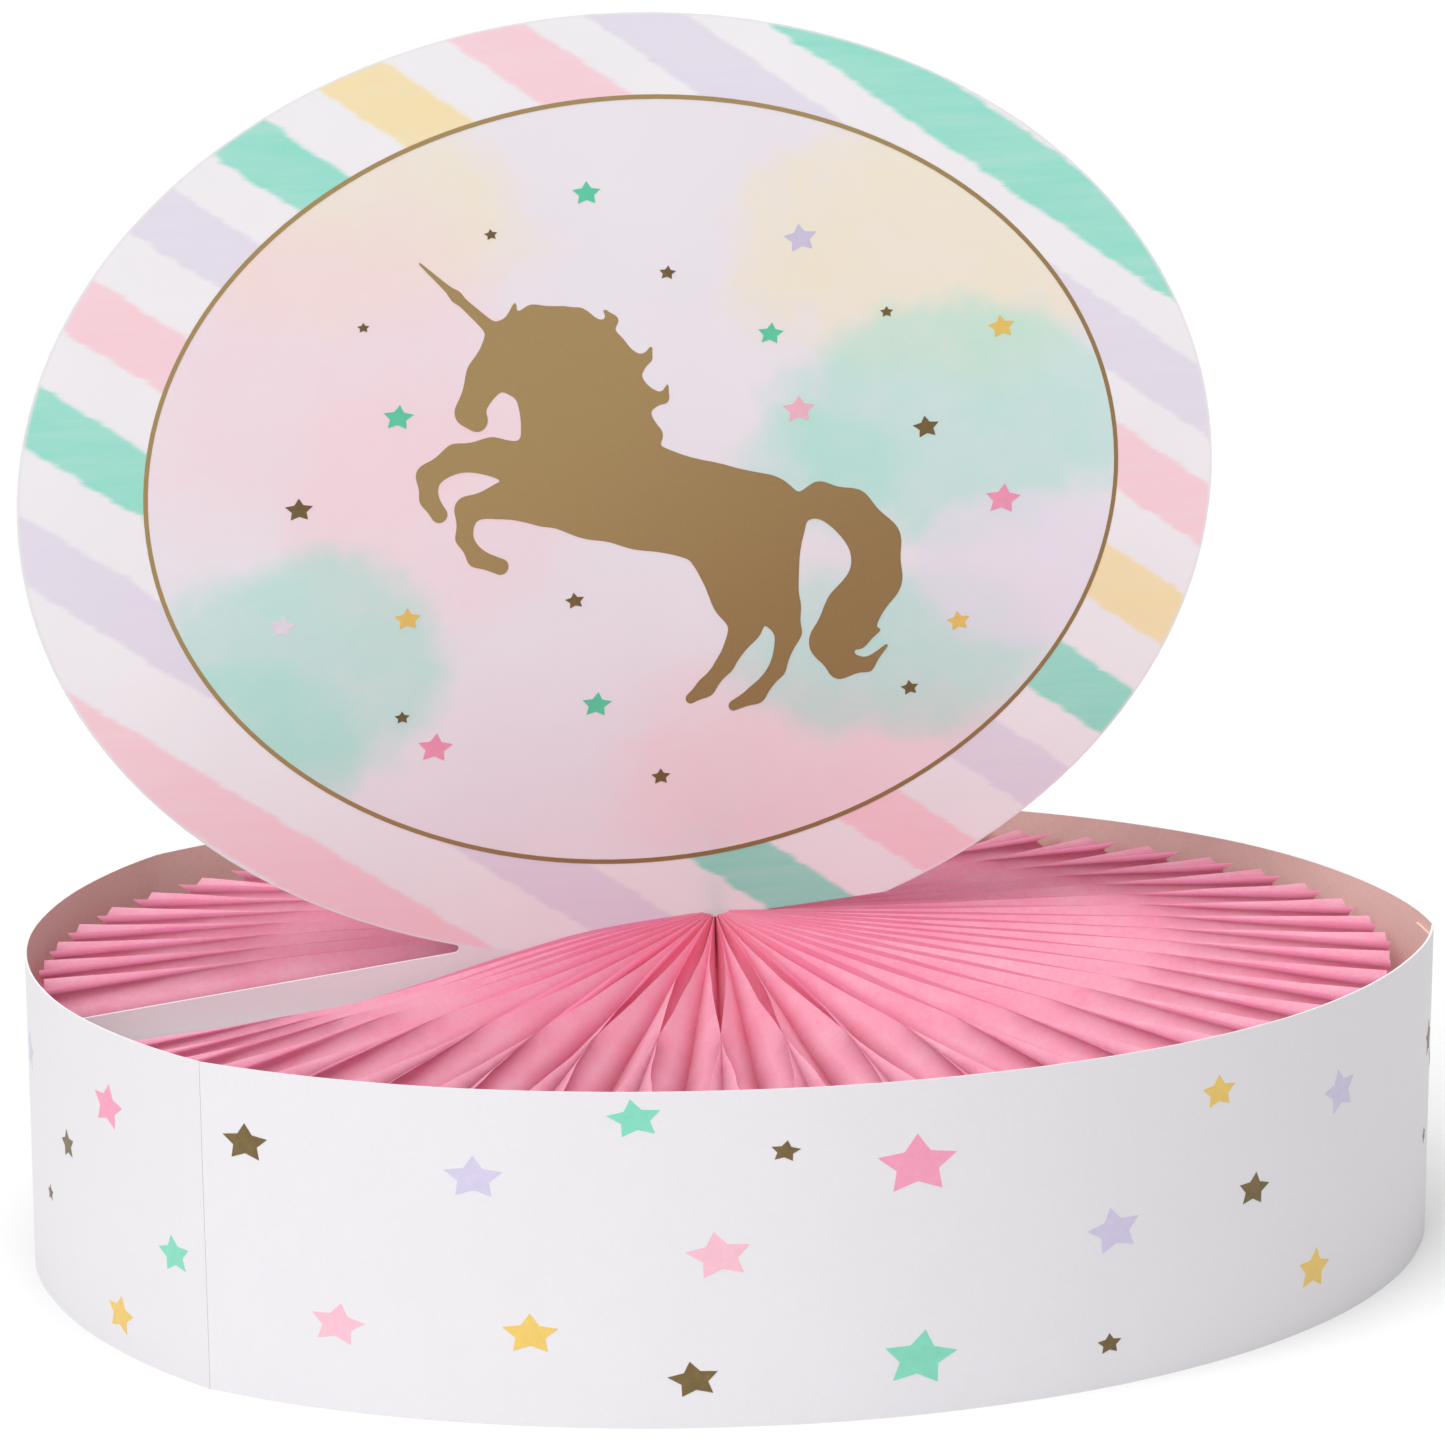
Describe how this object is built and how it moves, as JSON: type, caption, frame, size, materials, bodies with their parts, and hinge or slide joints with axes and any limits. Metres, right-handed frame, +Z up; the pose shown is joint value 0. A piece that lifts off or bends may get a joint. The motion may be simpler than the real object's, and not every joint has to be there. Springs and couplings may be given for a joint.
{
  "type": "honeycomb tissue centrepiece",
  "caption": "Round card band around an opening honeycomb tissue fan, with an upright printed oval card topper that lifts out.",
  "frame": {"origin": "on the surface it stands on, at the fan's spine, in the middle of the band", "axes": "+Z up along the fan's spine; the topper lies in the XZ plane and its printed front looks along -Y"},
  "size_m": [0.3427, 0.3435, 0.302],
  "materials": {
    "band_card": "satin",
    "inner_card": "matte",
    "printed_card": "satin",
    "binding": "matte",
    "tissue": "matte"
  },
  "bodies": {
    "base": {"band_front": "band_card", "band_back": "band_card", "glue_tab_left": "inner_card", "glue_tab_right": "inner_card", "spine": "binding", "front_cover": "inner_card"},
    "topper": {"topper_front": "printed_card", "topper_back": "printed_card"},
    "fan_01": {"tissue_packet_01": "tissue"},
    "fan_02": {"tissue_packet_02": "tissue"},
    "fan_03": {"tissue_packet_03": "tissue"},
    "fan_04": {"tissue_packet_04": "tissue"},
    "fan_05": {"tissue_packet_05": "tissue"},
    "fan_06": {"tissue_packet_06": "tissue"},
    "fan_07": {"tissue_packet_07": "tissue"},
    "fan_08": {"tissue_packet_08": "tissue"},
    "fan_09": {"tissue_packet_09": "tissue"},
    "fan_10": {"tissue_packet_10": "tissue"},
    "fan_11": {"tissue_packet_11": "tissue"},
    "fan_12": {"tissue_packet_12": "tissue"},
    "fan_13": {"tissue_packet_13": "tissue"},
    "fan_14": {"tissue_packet_14": "tissue"},
    "fan_15": {"tissue_packet_15": "tissue"},
    "fan_16": {"tissue_packet_16": "tissue"},
    "fan_17": {"tissue_packet_17": "tissue"},
    "fan_18": {"tissue_packet_18": "tissue"},
    "fan_19": {"tissue_packet_19": "tissue"},
    "fan_20": {"tissue_packet_20": "tissue"},
    "fan_21": {"tissue_packet_21": "tissue"},
    "fan_22": {"tissue_packet_22": "tissue"},
    "fan_23": {"tissue_packet_23": "tissue"},
    "fan_24": {"tissue_packet_24": "tissue"},
    "fan_cover": {"back_cover": "inner_card"}
  },
  "joints": [
    {"name": "fan_close", "type": "hinge", "parent": "base", "child": "fan_cover", "pos_m": [0, 0, 0], "axis": [0, 0, 1], "range_deg": [-349, 0]},
    {"name": "topper_lift", "type": "slide", "parent": "base", "child": "topper", "axis": [0, 0, 1], "range_m": [0, 0.08]},
    {"name": "fan_01_turn", "type": "hinge", "parent": "base", "child": "fan_01", "pos_m": [0, 0, 0], "axis": [0, 0, 1], "range_deg": [-5.77, 0]},
    {"name": "fan_02_turn", "type": "hinge", "parent": "base", "child": "fan_02", "pos_m": [0, 0, 0], "axis": [0, 0, 1], "range_deg": [-20.47, 0]},
    {"name": "fan_03_turn", "type": "hinge", "parent": "base", "child": "fan_03", "pos_m": [0, 0, 0], "axis": [0, 0, 1], "range_deg": [-35.17, 0]},
    {"name": "fan_04_turn", "type": "hinge", "parent": "base", "child": "fan_04", "pos_m": [0, 0, 0], "axis": [0, 0, 1], "range_deg": [-49.87, 0]},
    {"name": "fan_05_turn", "type": "hinge", "parent": "base", "child": "fan_05", "pos_m": [0, 0, 0], "axis": [0, 0, 1], "range_deg": [-64.57, 0]},
    {"name": "fan_06_turn", "type": "hinge", "parent": "base", "child": "fan_06", "pos_m": [0, 0, 0], "axis": [0, 0, 1], "range_deg": [-79.27, 0]},
    {"name": "fan_07_turn", "type": "hinge", "parent": "base", "child": "fan_07", "pos_m": [0, 0, 0], "axis": [0, 0, 1], "range_deg": [-93.97, 0]},
    {"name": "fan_08_turn", "type": "hinge", "parent": "base", "child": "fan_08", "pos_m": [0, 0, 0], "axis": [0, 0, 1], "range_deg": [-108.67, 0]},
    {"name": "fan_09_turn", "type": "hinge", "parent": "base", "child": "fan_09", "pos_m": [0, 0, 0], "axis": [0, 0, 1], "range_deg": [-123.37, 0]},
    {"name": "fan_10_turn", "type": "hinge", "parent": "base", "child": "fan_10", "pos_m": [0, 0, 0], "axis": [0, 0, 1], "range_deg": [-138.07, 0]},
    {"name": "fan_11_turn", "type": "hinge", "parent": "base", "child": "fan_11", "pos_m": [0, 0, 0], "axis": [0, 0, 1], "range_deg": [-152.77, 0]},
    {"name": "fan_12_turn", "type": "hinge", "parent": "base", "child": "fan_12", "pos_m": [0, 0, 0], "axis": [0, 0, 1], "range_deg": [-167.47, 0]},
    {"name": "fan_13_turn", "type": "hinge", "parent": "base", "child": "fan_13", "pos_m": [0, 0, 0], "axis": [0, 0, 1], "range_deg": [-182.17, 0]},
    {"name": "fan_14_turn", "type": "hinge", "parent": "base", "child": "fan_14", "pos_m": [0, 0, 0], "axis": [0, 0, 1], "range_deg": [-196.87, 0]},
    {"name": "fan_15_turn", "type": "hinge", "parent": "base", "child": "fan_15", "pos_m": [0, 0, 0], "axis": [0, 0, 1], "range_deg": [-211.57, 0]},
    {"name": "fan_16_turn", "type": "hinge", "parent": "base", "child": "fan_16", "pos_m": [0, 0, 0], "axis": [0, 0, 1], "range_deg": [-226.27, 0]},
    {"name": "fan_17_turn", "type": "hinge", "parent": "base", "child": "fan_17", "pos_m": [0, 0, 0], "axis": [0, 0, 1], "range_deg": [-240.97, 0]},
    {"name": "fan_18_turn", "type": "hinge", "parent": "base", "child": "fan_18", "pos_m": [0, 0, 0], "axis": [0, 0, 1], "range_deg": [-255.67, 0]},
    {"name": "fan_19_turn", "type": "hinge", "parent": "base", "child": "fan_19", "pos_m": [0, 0, 0], "axis": [0, 0, 1], "range_deg": [-270.37, 0]},
    {"name": "fan_20_turn", "type": "hinge", "parent": "base", "child": "fan_20", "pos_m": [0, 0, 0], "axis": [0, 0, 1], "range_deg": [-285.07, 0]},
    {"name": "fan_21_turn", "type": "hinge", "parent": "base", "child": "fan_21", "pos_m": [0, 0, 0], "axis": [0, 0, 1], "range_deg": [-299.77, 0]},
    {"name": "fan_22_turn", "type": "hinge", "parent": "base", "child": "fan_22", "pos_m": [0, 0, 0], "axis": [0, 0, 1], "range_deg": [-314.47, 0]},
    {"name": "fan_23_turn", "type": "hinge", "parent": "base", "child": "fan_23", "pos_m": [0, 0, 0], "axis": [0, 0, 1], "range_deg": [-329.17, 0]},
    {"name": "fan_24_turn", "type": "hinge", "parent": "base", "child": "fan_24", "pos_m": [0, 0, 0], "axis": [0, 0, 1], "range_deg": [-343.87, 0]}
  ],
  "couplings": [
    {"joint": "fan_01_turn", "follows": "fan_close", "ratio": 0.016476},
    {"joint": "fan_02_turn", "follows": "fan_close", "ratio": 0.058596},
    {"joint": "fan_03_turn", "follows": "fan_close", "ratio": 0.10072},
    {"joint": "fan_04_turn", "follows": "fan_close", "ratio": 0.14284},
    {"joint": "fan_05_turn", "follows": "fan_close", "ratio": 0.18496},
    {"joint": "fan_06_turn", "follows": "fan_close", "ratio": 0.22708},
    {"joint": "fan_07_turn", "follows": "fan_close", "ratio": 0.2692},
    {"joint": "fan_08_turn", "follows": "fan_close", "ratio": 0.31132},
    {"joint": "fan_09_turn", "follows": "fan_close", "ratio": 0.35344},
    {"joint": "fan_10_turn", "follows": "fan_close", "ratio": 0.39556},
    {"joint": "fan_11_turn", "follows": "fan_close", "ratio": 0.43768},
    {"joint": "fan_12_turn", "follows": "fan_close", "ratio": 0.4798},
    {"joint": "fan_13_turn", "follows": "fan_close", "ratio": 0.52192},
    {"joint": "fan_14_turn", "follows": "fan_close", "ratio": 0.56404},
    {"joint": "fan_15_turn", "follows": "fan_close", "ratio": 0.60616},
    {"joint": "fan_16_turn", "follows": "fan_close", "ratio": 0.64828},
    {"joint": "fan_17_turn", "follows": "fan_close", "ratio": 0.6904},
    {"joint": "fan_18_turn", "follows": "fan_close", "ratio": 0.73252},
    {"joint": "fan_19_turn", "follows": "fan_close", "ratio": 0.77464},
    {"joint": "fan_20_turn", "follows": "fan_close", "ratio": 0.81676},
    {"joint": "fan_21_turn", "follows": "fan_close", "ratio": 0.85888},
    {"joint": "fan_22_turn", "follows": "fan_close", "ratio": 0.901},
    {"joint": "fan_23_turn", "follows": "fan_close", "ratio": 0.94312},
    {"joint": "fan_24_turn", "follows": "fan_close", "ratio": 0.98524}
  ]
}
